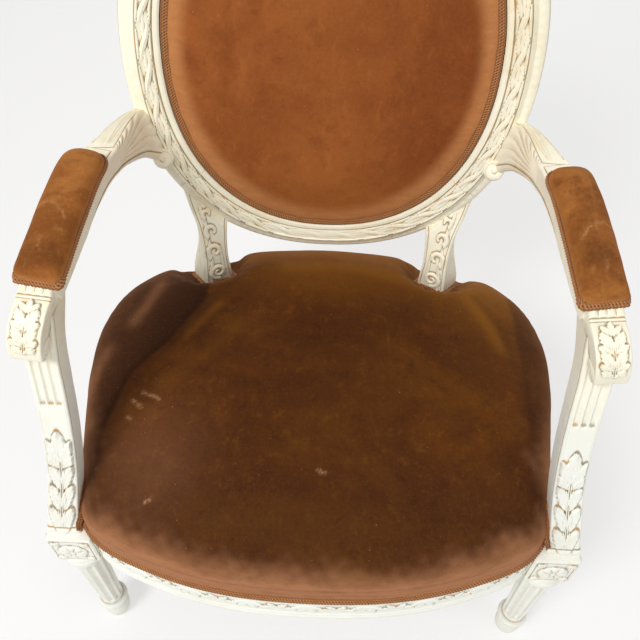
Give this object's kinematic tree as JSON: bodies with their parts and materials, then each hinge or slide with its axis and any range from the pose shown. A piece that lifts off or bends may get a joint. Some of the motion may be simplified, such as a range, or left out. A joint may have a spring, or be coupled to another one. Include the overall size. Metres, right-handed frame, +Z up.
{
  "type": "fauteuil",
  "caption": "Open armchair with a padded oval back, padded scrolled arms, a crowned horseshoe seat in velvet and turned fluted legs in aged painted wood.",
  "frame": {"origin": "middle of the chair's footprint, on the floor", "axes": "+X to the chair's right arm as drawn (viewer's right from the front), -Y to the front of the chair, +Z up"},
  "size_m": [0.652, 0.6477, 0.9546],
  "materials": {
    "painted_wood": "aged cream paint over carved wood, ochre patina in the recesses, satin",
    "plain_wood": "bare beech, unfinished",
    "velvet": "brown velvet, worn lighter along the edges",
    "braid": "woven copper-tan gimp braid",
    "jute": "woven jute",
    "stuffing": "curled hair under a cotton layer, soft"
  },
  "bodies": {
    "root": {"back_crest": "painted_wood", "back_lower_rail": "painted_wood", "right_back_side": "painted_wood", "left_back_side": "painted_wood", "front_seat_rail": "painted_wood", "rear_seat_rail": "painted_wood", "right_side_seat_rail": "painted_wood", "left_side_seat_rail": "painted_wood", "right_front_leg": "painted_wood", "left_front_leg": "painted_wood", "right_rear_stile": "painted_wood", "left_rear_stile": "painted_wood", "right_arm": "painted_wood", "left_arm": "painted_wood", "right_arm_support": "painted_wood", "left_arm_support": "painted_wood", "right_crest_dowel": "plain_wood", "left_crest_dowel": "plain_wood", "right_side_dowel": "plain_wood", "left_side_dowel": "plain_wood", "right_front_brace": "plain_wood", "left_front_brace": "plain_wood", "right_rear_brace": "plain_wood", "left_rear_brace": "plain_wood", "right_stile_dowel": "plain_wood", "left_stile_dowel": "plain_wood", "right_arm_dowel": "plain_wood", "left_arm_dowel": "plain_wood", "back_cover": "velvet", "back_rear_panel": "velvet", "seat_cover": "velvet", "right_arm_pad": "velvet", "left_arm_pad": "velvet", "back_gimp": "braid", "back_rear_gimp": "braid", "right_arm_pad_gimp": "braid", "left_arm_pad_gimp": "braid", "seat_gimp_front": "braid", "right_seat_gimp_side": "braid", "left_seat_gimp_side": "braid", "seat_gimp_rear": "braid", "back_webbing": "jute", "seat_webbing": "jute", "seat_hessian": "jute", "back_stuffing": "stuffing", "seat_stuffing": "stuffing"}
  },
  "joints": []
}
